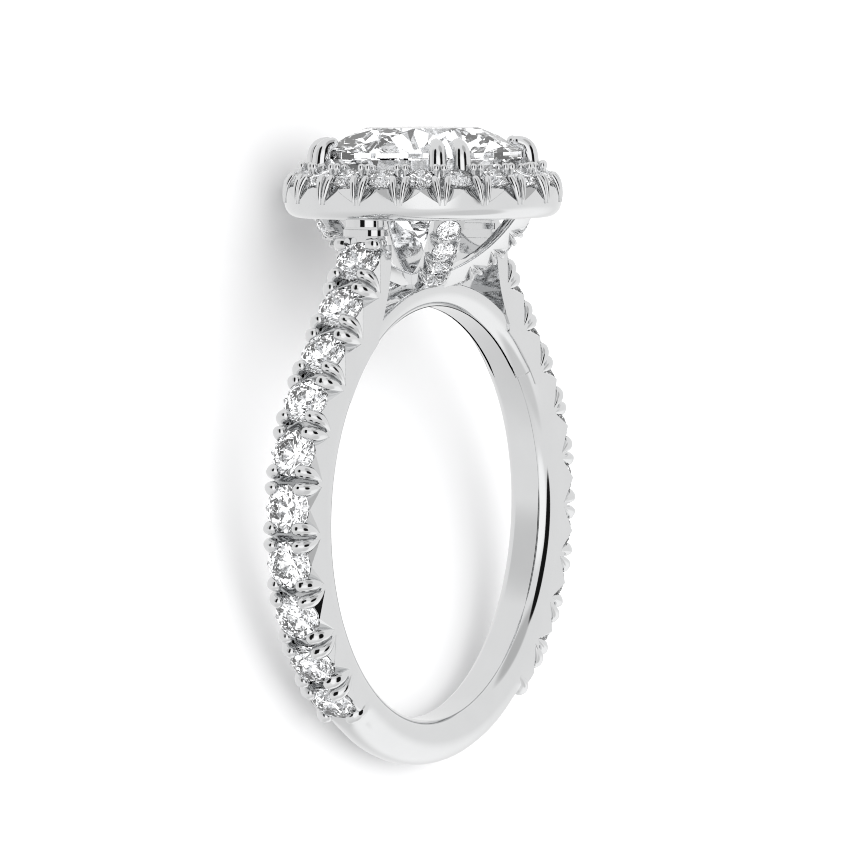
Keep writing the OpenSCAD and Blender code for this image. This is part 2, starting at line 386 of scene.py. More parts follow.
def arc(
    centre: tuple[float, float], radius: float, start: float, end: float, steps: int
) -> list[tuple[float, float]]:
    """Gives points on an arc, from angle start to angle end in degrees, both included."""
    angles = np.radians(np.linspace(start, end, steps + 1))
    return [(centre[0] + radius * math.cos(a), centre[1] + radius * math.sin(a)) for a in angles]


# How much more large faces count than small ones in a corner's shading, in percent
LARGE_FACE_WEIGHT = 80


@dataclass
class Casting:
    """Metal that starts as one shell and is added to and cut, in turn.

    Args:
        name: name of the finished piece.
        body: the shell that it starts from.
        steps: what is added and cut, in order.
    """

    name: str
    body: Shell
    steps: list[tuple[Cut, Shell]] = field(default_factory=list)

    def add(self, *shells: Shell) -> None:
        """Joins metal to the casting; shells given together don't touch each other."""
        self.steps.append((Cut.ADD, joined(shells)))

    def remove(self, *shells: Shell) -> None:
        """Cuts metal from the casting; shells given together don't touch each other."""
        self.steps.append((Cut.REMOVE, joined(shells)))

    def finish(self, crease: float = 32.0) -> bpy.types.Object:
        """Carries out the steps.

        Args:
            crease: angle in degrees above which an edge stays sharp.

        Returns:
            The piece, laid down in the frame.
        """
        piece = mesh_object(self.name, self.body)
        helpers = []
        for i, (cut, shell) in enumerate(self.steps):
            helper = mesh_object(f"{self.name}_step_{i}", shell)
            helpers.append(helper)
            modifier = piece.modifiers.new(f"step_{i}", "BOOLEAN")
            modifier.operation = cut.value
            modifier.solver = "MANIFOLD"
            modifier.object = helper
        graph = bpy.context.evaluated_depsgraph_get()
        mesh = bpy.data.meshes.new_from_object(piece.evaluated_get(graph))
        piece.modifiers.clear()
        old = piece.data
        piece.data = mesh
        bpy.data.meshes.remove(old)
        for helper in helpers:
            data = helper.data
            bpy.data.objects.remove(helper)
            bpy.data.meshes.remove(data)
        mesh.name = self.name
        tidy_mesh(mesh)
        mesh.transform(RING.laid_down())
        mesh.shade_smooth()
        mesh.set_sharp_from_angle(angle=math.radians(crease))
        weighted = piece.modifiers.new("weighted_normals", "WEIGHTED_NORMAL")
        weighted.keep_sharp = True
        weighted.weight = LARGE_FACE_WEIGHT
        return piece


def mesh_object(name: str, shell: Shell) -> bpy.types.Object:
    """Makes a mesh object from a shell and links it to the scene.

    Args:
        name: name of the object and its mesh.
        shell: its surface.

    Returns:
        The object.
    """
    mesh = bpy.data.meshes.new(name)
    mesh.from_pydata([tuple(p) for p in shell.points], [], shell.faces)
    mesh.update()
    piece = bpy.data.objects.new(name, mesh)
    bpy.context.scene.collection.objects.link(piece)
    return piece


def tidy_mesh(mesh: bpy.types.Mesh) -> None:
    """Merges doubled corners and melts away faces and edges with no size.

    Args:
        mesh: the mesh, in millimetres, which is changed in place.
    """
    bm = bmesh.new()
    bm.from_mesh(mesh)
    bmesh.ops.remove_doubles(bm, verts=bm.verts, dist=SAME_POINT)
    bmesh.ops.dissolve_degenerate(bm, edges=bm.edges, dist=SAME_POINT)
    bm.to_mesh(mesh)
    bm.free()


@dataclass(frozen=True)
class Brilliant:
    """A small round brilliant, as its seat sees it.

    Args:
        diameter: girdle diameter.
        table: table width as a share of the diameter.
        crown: crown angle in degrees.
        girdle: girdle height, or 0 for the usual share of the diameter.
        usual_girdle: that share.
        segments: sides of the seat.
    """

    diameter: float
    table: float = 0.57
    crown: float = 34.5
    girdle: float = 0.0
    usual_girdle: float = 0.03
    segments: int = 48

    def seat(self) -> Shell:
        """Shapes the cutter of the stone's seat.

        Returns:
            A shell that is larger than the stone by the gap, with the girdle's upper edge at Z = 0.
        """
        gap = RING.stone_gap
        r = self.diameter / 2 + gap
        girdle = self.girdle or self.usual_girdle * self.diameter
        slope = math.tan(math.radians(RING.pavilion_angle))
        rise = (r - r * self.table) * math.tan(math.radians(self.crown))
        outline = [
            (0.0, -girdle - r * slope - gap),
            (r, -girdle - gap),
            (r, gap),
            (r * self.table, rise + gap),
            (0.0, rise + gap),
        ]
        return lathe(outline, self.segments)


@dataclass(frozen=True)
class FishtailRow:
    """Bright cuts and split claws at the gaps between the stones of a row.

    In the frame of a gap, X runs along the row, Y out through the side of the metal and Z out of the
    stones' tables.

    Args:
        half_width: Y of the side of the metal.
        half_pitch: X of the neighbouring stones.
        tip: X of the tips of the two notches.
        depth: how far the tips lie below the stones' girdles.
        peak: how far the wall's peaks at mid-stone lie below the girdles.
        inner: X, Y and Z of the point where a notch's facet meets the stone's edge.
        groove: Y and Z of the floor of the groove between the claws, at its outer and its inner end.
        claw: path of the claw towards +X, as rows of x, y, z and radius.
        round_wall: radius of the side wall about the row's axis, or 0 where it is flat.
        fullness: exponent of the claws' cross-section, as for claw_tube.
        opening: angle of the groove's walls from the vertical, in degrees.
        claw_sides: sides round a claw.
        notch_span: how far a notch's cutter starts short of the tip and where it ends, as shares of
            half_pitch.
        notch_reach: how far it reaches inward, as a share of half_pitch, and outward, as a share
            of that.
        notch_height: least height of the cutter above the facet.
    """

    half_width: float
    half_pitch: float
    tip: float
    depth: float
    peak: float
    inner: tuple[float, float, float]
    groove: tuple[tuple[float, float], tuple[float, float]]
    claw: tuple[tuple[float, float, float, float], ...]
    round_wall: float = 0.0
    fullness: float = 2.0
    opening: float = 30.0
    claw_sides: int = 24
    notch_span: tuple[float, float] = (0.1, 1.15)
    notch_reach: tuple[float, float] = (0.9, 0.3)
    notch_height: float = 0.1

    def notch(self) -> Shell:
        """Shapes the cutter of the notch towards +X.

        Returns:
            A block that holds everything above the facet's plane, from just short of the tip to
            just past mid-stone.
        """
        drop = self.half_pitch**2 / (2 * self.round_wall) if self.round_wall else 0.0
        corners = np.array(
            [
                (self.tip, self.half_width, -self.depth),
                (self.half_pitch, self.half_width - drop, -self.peak),
                self.inner,
            ]
        )
        normal = np.cross(corners[1] - corners[0], corners[2] - corners[0])
        level = np.dot(corners[0], normal)
        short, far = self.notch_span
        inward, past = self.notch_reach
        reach = inward * self.half_pitch
        xs = (self.tip - short * self.half_pitch, far * self.half_pitch)
        ys = (self.half_width - reach, self.half_width + past * reach)
        base = [(x, y, (level - normal[0] * x - normal[1] * y) / normal[2]) for x in xs for y in ys]
        top = [(x, y, max(self.half_pitch, z + self.notch_height)) for x, y, z in base]
        return hull(base + top)

    def valley(self) -> Shell:
        """Shapes the cutter of the V groove between the claws of one side.

        Returns:
            A wedge whose edge is the floor of the groove.
        """
        top = self.half_pitch
        spread = math.tan(math.radians(self.opening))
        points = []
        for y, z in self.groove:
            points += [(0.0, y, z), ((top - z) * spread, y, top), ((z - top) * spread, y, top)]
        return hull(points)

    def claw_shell(self) -> Shell:
        """Gives the claw towards +X."""
        return claw_tube(self.claw, self.claw_sides, fullness=self.fullness)


MIRROR_X = Matrix.Scale(-1, 4, (1, 0, 0))
MIRROR_Y = Matrix.Scale(-1, 4, (0, 1, 0))


class Side(Enum):
    """Side of the ring that a shoulder is on, by the sign of its X."""

    PLUS = 1
    MINUS = -1

    @property
    def matrix(self) -> Matrix:
        """Move from the +X side to this one."""
        return Matrix() if self is Side.PLUS else MIRROR_X


def cut_row(casting: Casting, row: FishtailRow, gaps: Sequence[Matrix], both_sides: bool) -> None:
    """Cuts the notches and grooves of a row into a casting.

    Args:
        casting: the metal.
        row: shape of the cuts.
        gaps: frame of each gap.
        both_sides: whether the row is cut on both of its sides.
    """
    for side in (Matrix(), MIRROR_Y) if both_sides else (Matrix(),):
        for end in (Matrix(), MIRROR_X):
            casting.remove(*(row.notch().placed(g @ side @ end) for g in gaps))
        casting.remove(*(row.valley().placed(g @ side) for g in gaps))


def claw_row(
    casting: Casting, row: FishtailRow, gaps: Sequence[tuple[Matrix, int]], both_sides: bool
) -> None:
    """Adds the claws of a row.

    Args:
        casting: the metal.
        row: shape of the claws.
        gaps: frame of each gap, and +1, -1 or 0 for a claw towards +X, towards -X or both.
        both_sides: whether the row has claws on both of its sides.
    """
    for side in (Matrix(), MIRROR_Y) if both_sides else (Matrix(),):
        for sign, end in ((1, Matrix()), (-1, MIRROR_X)):
            chosen = [g for g, only in gaps if only in (0, sign)]
            casting.add(*(row.claw_shell().placed(g @ side @ end) for g in chosen))


def rounded(corners: Sequence[tuple[float, float, float]], steps: int) -> list[tuple[float, float]]:
    """Rounds the corners of an outline.

    Args:
        corners: rows of x, y and rounding radius; a radius of 0 leaves the corner sharp but doubled.
        steps: sides of each rounding.

    Returns:
        The outline's points, always steps + 1 for each corner.
    """
    points = []
    count = len(corners)
    for i, (x, y, radius) in enumerate(corners):
        here = np.array((x, y))
        back = np.array(corners[i - 1][:2]) - here
        on = np.array(corners[(i + 1) % count][:2]) - here
        back, on = back / np.linalg.norm(back), on / np.linalg.norm(on)
        half = math.acos(float(np.clip(np.dot(back, on), -1, 1))) / 2
        reach = radius / math.tan(half)
        start, end = here + back * reach, here + on * reach
        middle = here + (back + on) / np.linalg.norm(back + on) * radius / math.sin(half)
        for t in np.linspace(0, 1, steps + 1):
            chord = start + (end - start) * t - middle
            points.append(tuple(middle + chord / np.linalg.norm(chord) * radius))
    return points


# Corners of one side of the band's section, from the bore out: how far outside the finger hole and
# inside the band's side each lies, and its rounding
BORE_CORNERS = ((0.03, 0.45, 0.25), (0.3, 0.05, 0.7), (0.85, 0.0, 0.5))
# Rounding of the crown in the middle of the bore
BORE_CROWN = 10.0
# Sides of each rounding of the section
SECTION_STEPS = 6


def band_section(outer_r: float, half: float, outer_round: float) -> list[tuple[float, float]]:
    """Draws the band's section: a crowned bore, a soft bevel, flat sides and an outer face.

    Args:
        outer_r: radius of the outer face.
        half: half of the band's width.
        outer_round: rounding of the outer corners.

    Returns:
        Points of radius and Y, always equally many.
    """
    hole = RING.hole_r
    upper = [(hole + out, half - inset, radius) for out, inset, radius in BORE_CORNERS]
    upper.append((outer_r, half, outer_round))
    lower = [(r, -y, radius) for r, y, radius in reversed(upper)]
    return rounded([*upper, *lower, (hole, 0.0, BORE_CROWN)], SECTION_STEPS)


class MetalPart:
    """A part of the mount, made and finished as one piece of metal."""

    def build(self) -> bpy.types.Object:
        """Builds the piece. Each part does this in its own way."""
        raise NotImplementedError

    def dress(self, piece: bpy.types.Object, finish: bpy.types.Material) -> None:
        """Gives the piece its finish and its place in the frame.

        Args:
            piece: the piece of metal.
            finish: its material.
        """
        piece.data.materials.clear()
        piece.data.materials.append(finish)
        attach(piece, "root")
        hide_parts("ring_mount")


@dataclass(frozen=True)
class Ledge:
    """Flat ledge round the neck of a shoulder.

    Args:
        inner_x: X of the face towards the centre stone.
        outer_x: X of the outer face.
        half_width: half of its width.
        outer_round: rounding of the corners of the outer face.
        steps: sides of each rounding.
        low: Z of its underside.
        high: Z of its top.
        inner_round: rounding of the corners of the inner face.
    """

    inner_x: float
    outer_x: float
    half_width: float
    outer_round: float
    steps: int
    low: float
    high: float
    inner_round: float = 0.1

    def shell(self) -> Shell:
        """Raises the ledge from its outline.

        Returns:
            The closed shell.
        """
        half = self.half_width
        corners = [
            (self.inner_x, -half, self.inner_round),
            (self.outer_x, -half, self.outer_round),
            (self.outer_x, half, self.outer_round),
            (self.inner_x, half, self.inner_round),
        ]
        return pillar(rounded(corners, self.steps), self.low, self.high)


@dataclass(frozen=True)
class Collar:
    """Neck between the +X shoulder and the halo, with its ledges and beads.

    Args:
        low: lowest corner of the neck.
        high: highest corner of the neck, inside the halo.
        ledges: the plate and, above it, the collar under the halo.
        beads: one row of X, Z and radius for each bead on a side of the neck.
        bead_shape: rows of Y and share of the radius, from a bead's root to its dome.
        bead_fullness: exponent of a bead's cross-section, as for claw_tube.
        bead_sides: sides round a bead.
    """

    low: tuple[float, float, float] = (4.3, -0.78, 11.0)
    high: tuple[float, float, float] = (4.93, 0.78, 12.4)
    ledges: tuple[Ledge, ...] = (
        Ledge(4.22, 5.15, 0.95, 0.55, 8, 11.56, 11.82),
        Ledge(4.3, 5.28, 0.86, 0.78, 12, 11.93, 12.4),
    )
    beads: tuple[tuple[float, float, float], ...] = ((5.2, 11.24, 0.27), (4.6, 11.27, 0.2))
    bead_shape: tuple[tuple[float, float], ...] = ((0.5, 0.9), (0.68, 1.0), (0.8, 1.0))
    bead_fullness: float = 2.8
    bead_sides: int = 20

    def shells(self) -> list[Shell]:
        """Gives the neck and its ledges, from the bottom up."""
        return [box(self.low, self.high), *(ledge.shell() for ledge in self.ledges)]

    def bead_pair(self, x: float, z: float, radius: float) -> list[Shell]:
        """Shapes a bead on each side of the neck, above the first stone.

        Args:
            x: X of its middle.
            z: Z of its middle.
            radius: its radius.

        Returns:
            The two beads.
        """
        beads = []
        for way in (-1, 1):
            path = [(x, way * y, z, radius * share) for y, share in self.bead_shape]
            beads.append(claw_tube(path, self.bead_sides, fullness=self.bead_fullness))
        return beads


@dataclass
class Band(MetalPart):
    """Band, shoulders and bridge, with the paving of both shoulders.

    Args:
        stones: stones down each shoulder.
        pitch: distance from one to the next.
        top_stone: place of the first stone along the shoulder line, from where it straightens.
        stone: cut of the stones.
        paving_end: angle below the horizontal at which the flat sides end.
        blend: angle over which they pass into the back.
        back_dome: rounding of the outer corners at the back.
        arm_round: rounding of the outer corners where stones are set.
        hoop_sections: sections along the hoop.
        bridge_r: outer radius of the bridge.
        bridge_overlap: angle by which the bridge runs into the arms.
        bridge_inset: how far the bridge's sides lie inside the band's, at its ends and added past them.
        bridge_round: rounding of the bridge's outer corners.
        bridge_sections: sections along the bridge.
        inner_x: X of the shoulder's inner face at the top.
        outer_x: X of the shoulder's outer face at the top.
        knee_z: Z at which the inner face starts to curve away below.
        step_z: Z of the step in the outer face and of the shoulder's flat top.
        inner_arc_r: radius of the curve of the inner face.
        inner_arc: angles at which that curve starts and ends.
        root_r: radius of the shoulder's root inside the hoop.
        root_arc: angles at which the root starts and ends.
        inner_steps: sides of the inner face's curve.
        root_steps: sides of the root.
        past_stone: how far the shoulder runs past the middle of the first stone.
        collar: neck, ledges and beads on top of the shoulder.
        row: cuts and claws between the stones.
    """

    stones: int = 10
    pitch: float = 2.273
    top_stone: float = 5.91
    stone: Brilliant = Brilliant(1.95)
    paving_end: float = 50.0
    blend: float = 7.0
    back_dome: float = 0.98
    arm_round: float = 0.06
    hoop_sections: int = 201
    bridge_r: float = 9.5
    bridge_overlap: float = 2.0
    bridge_inset: tuple[float, float] = (0.004, 0.07)
    bridge_round: float = 0.12
    bridge_sections: int = 81
    inner_x: float = 4.27
    outer_x: float = 4.95
    knee_z: float = 11.0
    step_z: tuple[float, float] = (11.07, 11.2)
    inner_arc_r: float = 6.1
    inner_arc: tuple[float, float] = (180.0, 214.0)
    root_r: float = 8.98
    root_arc: tuple[float, float] = (54.0, 33.5)
    inner_steps: int = 24
    root_steps: int = 12
    past_stone: float = 0.55
    collar: Collar = Collar()

    row: FishtailRow = FishtailRow(
        half_width=1.05,
        half_pitch=1.1365,
        tip=0.24,
        depth=0.76,
        peak=0.1,
        inner=(0.5, 0.72, -0.14),
        groove=((1.2, -0.62), (-0.1, -0.42)),
        claw=(
            (0.13, 1.02, -0.8, 0.03),
            (0.2, 0.985, -0.52, 0.14),
            (0.27, 0.925, -0.24, 0.225),
            (0.32, 0.83, -0.07, 0.27),
            (0.345, 0.71, 0.07, 0.285),
            (0.35, 0.6, 0.165, 0.26),
        ),
        fullness=2.6,
    )

    def on_line(self, side: Side, s: float) -> Matrix:
        """Finds a place on the shoulder line.

        Args:
            side: side of the ring.
            s: distance along the line from where it straightens, towards the head.

        Returns:
            The frame there: Z out of the band and X down the line.
        """
        angle = math.radians(RING.shoulder_angle) + min(s, 0.0) / RING.arm_r
        run = max(s, 0.0)
        x = RING.arm_centre[0] + RING.arm_r * math.cos(angle) - run * math.sin(angle)
        z = RING.arm_centre[1] + RING.arm_r * math.sin(angle) + run * math.cos(angle)
        turn = Matrix.Rotation(math.pi / 2 - angle, 4, "Y")
        return side.matrix @ Matrix.Translation((x, 0, z)) @ turn

    def stone_place(self, i: float) -> float:
        """Gives the place of stone i along the shoulder line, counted from the head."""
        return self.top_stone - (i - 1) * self.pitch

    def outer_r(self, along: float) -> float:
        """Finds the outer radius of the arms before they blend into the back.

        Args:
            along: angle round the finger hole from the middle of the back.

        Returns:
            The radius.
        """
        direction = math.radians(along - 90)
        x, z = RING.arm_centre
        across = x * math.cos(direction) + z * math.sin(direction)
        return across + math.sqrt(across**2 + RING.arm_r**2 - x**2 - z**2)

    def hoop(self) -> Shell:
        """Sweeps the open hoop from one shoulder round the back to the other.

        Returns:
            The hoop, whose outer face swells from the round back into the flat-sided arms.
        """
        rings = []
        end = 90 + RING.bridge_angle
        blend_end = 90 - self.paving_end + self.blend / 2
        for a in np.linspace(-end, end, self.hoop_sections):
            along = abs(a)
            t = min(max((blend_end - along) / self.blend, 0.0), 1.0)
            ease = t * t * (3 - 2 * t)
            outer_r = RING.band_r * ease + self.outer_r(along) * (1 - ease)
            outer_round = self.back_dome * ease + self.arm_round * (1 - ease)
            outline = band_section(outer_r, RING.band_half, outer_round)
            c, s = math.sin(math.radians(a)), -math.cos(math.radians(a))
            rings.append([(r * c, y, r * s) for r, y in outline])
        return loft(np.array(rings))

    def bridge(self) -> Shell:
        """Sweeps the bridge that closes the hoop under the head.

        Returns:
            The bridge, a little narrower than the band.
        """
        rings = []
        start = RING.bridge_angle - self.bridge_overlap
        end_inset, more_inset = self.bridge_inset
        for a in np.linspace(start, 180 - start, self.bridge_sections):
            inset = more_inset * min(min(a, 180 - a) - start, self.blend) / self.blend
            half = RING.band_half - end_inset - inset
            outline = band_section(self.bridge_r, half, self.bridge_round)
            c, s = math.cos(math.radians(a)), math.sin(math.radians(a))
            rings.append([(r * c, y, r * s) for r, y in outline])
        return loft(np.array(rings))

    def shoulder(self) -> Shell:
        """Cuts out the flat-sided cheek that carries the stones of the +X side up to the head.

        Returns:
            A slab as wide as the band.
        """
        foot = self.on_line(Side.PLUS, 0.0).translation
        top = self.on_line(Side.PLUS, self.top_stone + self.past_stone).translation
        step_z, top_z = self.step_z
        outline = [(foot.x, foot.z), (top.x, top.z)]
        outline += [(self.outer_x, step_z), (self.outer_x, top_z), (self.inner_x, top_z)]
        centre = (self.inner_x + self.inner_arc_r, self.knee_z)
        outline += arc(centre, self.inner_arc_r, *self.inner_arc, self.inner_steps)
        outline += arc((0.0, 0.0), self.root_r, *self.root_arc, self.root_steps)
        return slab(outline, -RING.band_half, RING.band_half)

    def build(self) -> bpy.types.Object:
        """Builds hoop, shoulders, bridge and collars, then cuts, claws and seats.

        Returns:
            The band as one piece of metal.
        """
        metal = Casting("band_and_shoulders", self.hoop())
        metal.add(*(self.shoulder().placed(side.matrix) for side in Side))
        metal.add(self.bridge())
        for shell in self.collar.shells():
            metal.add(*(shell.placed(side.matrix) for side in Side))
        between = [self.stone_place(i + 0.5) for i in range(1, self.stones)]
        gaps = [self.on_line(side, s) for side in Side for s in between]
        cut_row(metal, self.row, gaps, both_sides=True)
        last = self.stone_place(self.stones + 0.5)
        ends = [(self.on_line(side, last), -1) for side in Side]
        claw_row(metal, self.row, [(g, 0) for g in gaps] + ends, both_sides=True)
        for x, z, radius in self.collar.beads:
            pair = self.collar.bead_pair(x, z, radius)
            metal.add(*(bead.placed(side.matrix) for side in Side for bead in pair))
        places = [self.stone_place(i) for i in range(1, self.stones + 1)]
        seats = [self.stone.seat().placed(self.on_line(side, s)) for side in Side for s in places]
        metal.remove(*seats[::2])
        metal.remove(*seats[1::2])
        return metal.finish()


@dataclass
class Halo(MetalPart):
    """Rim of small stones round the centre stone.

    Args:
        inner_r: inner radius of the rim.
        rim_z: Z of the upper edge of the rim's outer wall.
        crest: height of the rim's inner edge above its underside.
        inner_bevel: width and height of the bevel on that edge.
        draft: how far the wall leans inward down to its rounded corner.
        corner_arc: angles at which the rounding of that corner starts and ends.
        corner_steps: sides of that rounding.
        sides_per_stone: sides of the rim for each stone.
        stone_r: radius of the circle of the stones' middles.
        stone_z: Z of the stones' middles.
        tilt: outward tilt of the stones.
        stone: cut of the stones.
        bead_r: radius of the beads between the stones.
        bead_shape: rows of depth below a bead's middle and share of its radius, from its root up.
        bead_rows: rows of distance from the gap's middle, from the outer wall and above the rim.
        row: cuts and claws between the stones.
    """

    inner_r: float = 4.25
    rim_z: float = 13.42
    crest: float = 1.92
    inner_bevel: tuple[float, float] = (0.12, 0.1)
    draft: float = 0.06
    corner_arc: tuple[float, float] = (-90.0, -6.0)
    corner_steps: int = 12
    sides_per_stone: int = 12
    stone_r: float = 5.03
    stone_z: float = 13.92
    tilt: float = 26.0
    stone: Brilliant = Brilliant(1.4)
    bead_r: float = 0.155
    bead_shape: tuple[tuple[float, float], ...] = ((0.55, 0.6), (0.27, 0.66), (0.09, 0.97), (0.0, 1.0))
    bead_rows: tuple[tuple[float, float, float], ...] = ((0.2, 1.12, 0.88), (0.16, 0.76, 0.93))

    row: FishtailRow = FishtailRow(
        half_width=0.0,
        half_pitch=0.895,
        tip=0.165,
        depth=0.56,
        peak=0.02,
        inner=(0.42, -0.42, 0.2),
        groove=((0.1, -0.45), (-0.9, 0.25)),
        claw=(
            (0.10, -0.02, -0.6, 0.03),
            (0.14, -0.05, -0.3, 0.1),
            (0.19, -0.12, 0.05, 0.14),
            (0.235, -0.22, 0.3, 0.155),
            (0.27, -0.34, 0.47, 0.15),
        ),
        round_wall=5.75,
    )

    def gap_frame(self, i: float) -> Matrix:
        """Finds the place of a gap on the outer wall.

        Args:
            i: number of the gap.

        Returns:
            The frame there: X round the halo, Y outward and Z up.
        """
        angle = math.radians(RING.halo_phase + 360 / RING.halo_stones * i)
        turn = Matrix.Rotation(angle + math.pi, 4, "Z")
        return turn @ Matrix.Translation((0, RING.halo_r, self.rim_z))

    def seat_frame(self, i: float) -> Matrix:
        """Finds the place of a stone.

        Args:
            i: number of the gap before it.

        Returns:
            The frame there, with Z out of the stone's table.
        """
        angle = math.radians(RING.halo_phase + 360 / RING.halo_stones * (i + 0.5))
        place = Matrix.Translation((0, -self.stone_r, self.stone_z))
        return Matrix.Rotation(angle, 4, "Z") @ place @ Matrix.Rotation(math.radians(self.tilt), 4, "X")

    def rim(self) -> Shell:
        """Turns the body of the halo.

        Returns:
            A rim with a rounded lower corner and a top that slopes outward.
        """
        base, corner = RING.halo_base, RING.halo_corner
        across, down = self.inner_bevel
        outline = [(self.inner_r, base)]
        centre = (RING.halo_r - self.draft - corner, base + corner)
        outline += arc(centre, corner, *self.corner_arc, self.corner_steps)
        outline += [
            (RING.halo_r, self.rim_z),
            (self.inner_r + across, base + self.crest),
            (self.inner_r, base + self.crest - down),
        ]
        return lathe(outline, self.sides_per_stone * RING.halo_stones)

    def beads(self, across: float, inset: float, rise: float) -> list[Shell]:
        """Gives a row of beads between the stones, one at each gap.

        Args:
            across: distance from the middle of the gap.
            inset: distance from the rim's outer wall.
            rise: height of the bead's middle above the rim.

        Returns:
            The beads, none of which touch each other.
        """
        path = [(across, -inset, rise - fall, self.bead_r * share) for fall, share in self.bead_shape]
        return [claw_tube(path).placed(self.gap_frame(i)) for i in range(RING.halo_stones)]

    def build(self) -> bpy.types.Object:
        """Builds the rim, then its cuts, claws, beads and seats.

        Returns:
            The halo as one piece of metal.
        """
        metal = Casting("halo", self.rim())
        gaps = [self.gap_frame(i) for i in range(RING.halo_stones)]
        cut_row(metal, self.row, gaps, both_sides=False)
        claw_row(metal, self.row, [(g, 0) for g in gaps], both_sides=False)
        for sign in (1, -1):
            for across, inset, rise in self.bead_rows:
                metal.add(*self.beads(across * sign, inset, rise))
        seats = [self.stone.seat().placed(self.seat_frame(i)) for i in range(RING.halo_stones)]
        metal.remove(*seats[::2])
        metal.remove(*seats[1::2])
        metal.remove(CentreSetting().stone.seat().placed(Matrix.Translation((0, 0, RING.girdle_z))))
        return metal.finish()


@dataclass
class Basket(MetalPart):
    """Four curved struts, set with stones, that carry the halo on the bridge.

    Args:
        arc_r: distance from the head's axis to the centre of a strut's curve, below 0 past the axis.
        arc_z: Z of that centre.
        outer_r: radius of the strut's outer face about it.
        inner_r: radius of the strut's inner face about it.
        half_width: half of the strut's width.
        outer_round: rounding of the outer face's corners.
        inner_round: rounding of the inner face's corners.
        round_steps: sides of an outer and of an inner rounding.
        reach: angles at which the strut starts in the bridge and ends in the halo.
        sections: sections along the strut.
        first: angle of the stone nearest the halo.
        step: angle from one stone to the next.
        stones: stones on each strut.
        stone: cut of the stones.
        row: cuts and claws between the stones.
    """

    arc_r: float = -1.07
    arc_z: float = 15.47
    outer_r: float = 6.45
    inner_r: float = 5.8
    half_width: float = 0.65
    outer_round: float = 0.02
    inner_round: float = 0.1
    round_steps: tuple[int, int] = (1, 5)
    reach: tuple[float, float] = (-82.0, -24.0)
    sections: int = 40
    first: float = -35.2
    step: float = 10.2
    stones: int = 4
    stone: Brilliant = Brilliant(1.0)

    row: FishtailRow = FishtailRow(
        half_width=0.65,
        half_pitch=0.574,
        tip=0.12,
        depth=0.36,
        peak=0.05,
        inner=(0.27, 0.42, -0.05),
        groove=((0.72, -0.3), (0.15, -0.1)),
        claw=(
            (0.08, 0.62, -0.42, 0.02),
            (0.10, 0.58, -0.25, 0.06),
            (0.15, 0.53, -0.1, 0.09),
            (0.19, 0.46, 0.03, 0.1),
            (0.22, 0.4, 0.1, 0.1),
        ),
    )

    def on_arc(self, corner: int, angle: float) -> Matrix:
        """Finds a place on the outer face of a strut.

        Args:
            corner: number of the strut, round the head.
            angle: angle round the centre of its curve.

        Returns:
            The frame there: Z out of the strut and X down along it.
        """
        a = math.radians(angle)
        turn = Matrix.Rotation(RING.corner_angle(corner), 4, "Z")
        place = Matrix.Translation((self.arc_r, 0, self.arc_z))
        out = Matrix.Rotation(math.pi / 2 - a, 4, "Y") @ Matrix.Translation((0, 0, self.outer_r))
        return turn @ place @ out

    def strut(self, corner: int) -> Shell:
        """Sweeps one strut from the bridge up into the halo.

        Args:
            corner: number of the strut, round the head.

        Returns:
            The strut, with rounded edges.
        """
        sharp, soft = self.outer_round, self.inner_round
        few, more = self.round_steps
        outline = arc((self.outer_r - sharp, self.half_width - sharp), sharp, 0, 90, few)
        outline += arc((self.inner_r + soft, self.half_width - soft), soft, 90, 180, more)
        outline += [(r, -y) for r, y in reversed(outline)]
        rings = []
        turn = Matrix.Rotation(RING.corner_angle(corner), 3, "Z")
        for a in np.radians(np.linspace(*self.reach, self.sections)):
            c, s = math.cos(a), math.sin(a)
            ring = [turn @ Vector((self.arc_r + r * c, y, self.arc_z + r * s)) for r, y in outline]
            rings.append(ring)
        return loft(np.array(rings))

    def build(self) -> bpy.types.Object:
        """Builds the struts, then their cuts, claws and seats.

        Returns:
            The four struts as one piece of metal.
        """
        metal = Casting("basket_struts", joined([self.strut(0), self.strut(2)]))
        metal.add(self.strut(1), self.strut(3))
        between = [self.first - self.step * (i - 0.5) for i in range(1, self.stones)]
        corners = range(RING.corners)
        gaps = [self.on_arc(corner, angle) for corner in corners for angle in between]
        cut_row(metal, self.row, gaps, both_sides=True)
        claw_row(metal, self.row, [(g, 0) for g in gaps], both_sides=True)
        places = [self.first - self.step * i for i in range(self.stones)]
        seats = [self.stone.seat().placed(self.on_arc(c, angle)) for c in corners for angle in places]
        metal.remove(*seats[::2])
        metal.remove(*seats[1::2])
        return metal.finish()


